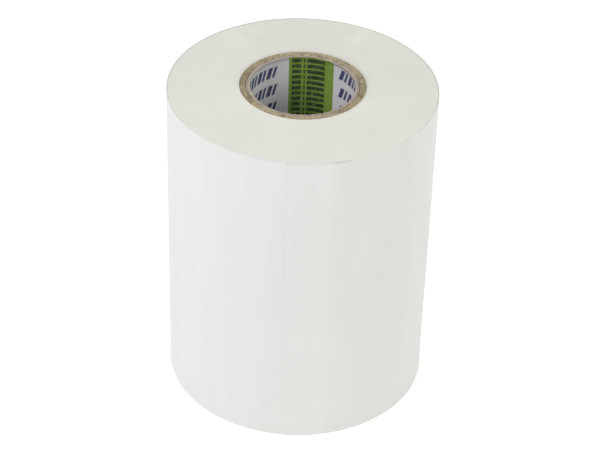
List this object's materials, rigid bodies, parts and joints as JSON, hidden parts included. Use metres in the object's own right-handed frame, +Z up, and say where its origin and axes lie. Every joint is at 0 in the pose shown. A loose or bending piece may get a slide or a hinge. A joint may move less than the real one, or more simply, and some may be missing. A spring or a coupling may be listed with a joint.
{
  "type": "grip tape roll",
  "caption": "Upright roll of wide white film tape on a paperboard core with a printed liner, with its loose end lifted.",
  "frame": {"origin": "centre of the roll's bottom end face, on the axis of the core", "axes": "+Z up along the core's axis; -Y towards the side where the tape's free end lies; +X to the right of a viewer who faces that side"},
  "size_m": [0.0797, 0.0801, 0.1009],
  "materials": {
    "liner_paper": "satin",
    "core_board": "matte",
    "tape_film": "satin",
    "tape_adhesive": "gloss"
  },
  "bodies": {
    "roll": {"core_liner": "liner_paper", "core_ply_1": "core_board", "core_ply_2": "core_board", "core_ply_3": "core_board", "core_ply_4": "core_board", "core_ply_5": "core_board", "tape_first_turn": "tape_film", "tape_wound_pack": "tape_film", "outer_turn_adhesive": "tape_adhesive", "outer_turn_film": "tape_film"},
    "free_end": {"free_end_adhesive": "tape_adhesive", "free_end_film": "tape_film"}
  },
  "joints": [
    {"name": "free_end_peel", "type": "hinge", "parent": "roll", "child": "free_end", "pos_m": [0.01624, -0.03647, 0.05], "axis": [0, 0, 1], "range_deg": [0, 90]}
  ]
}
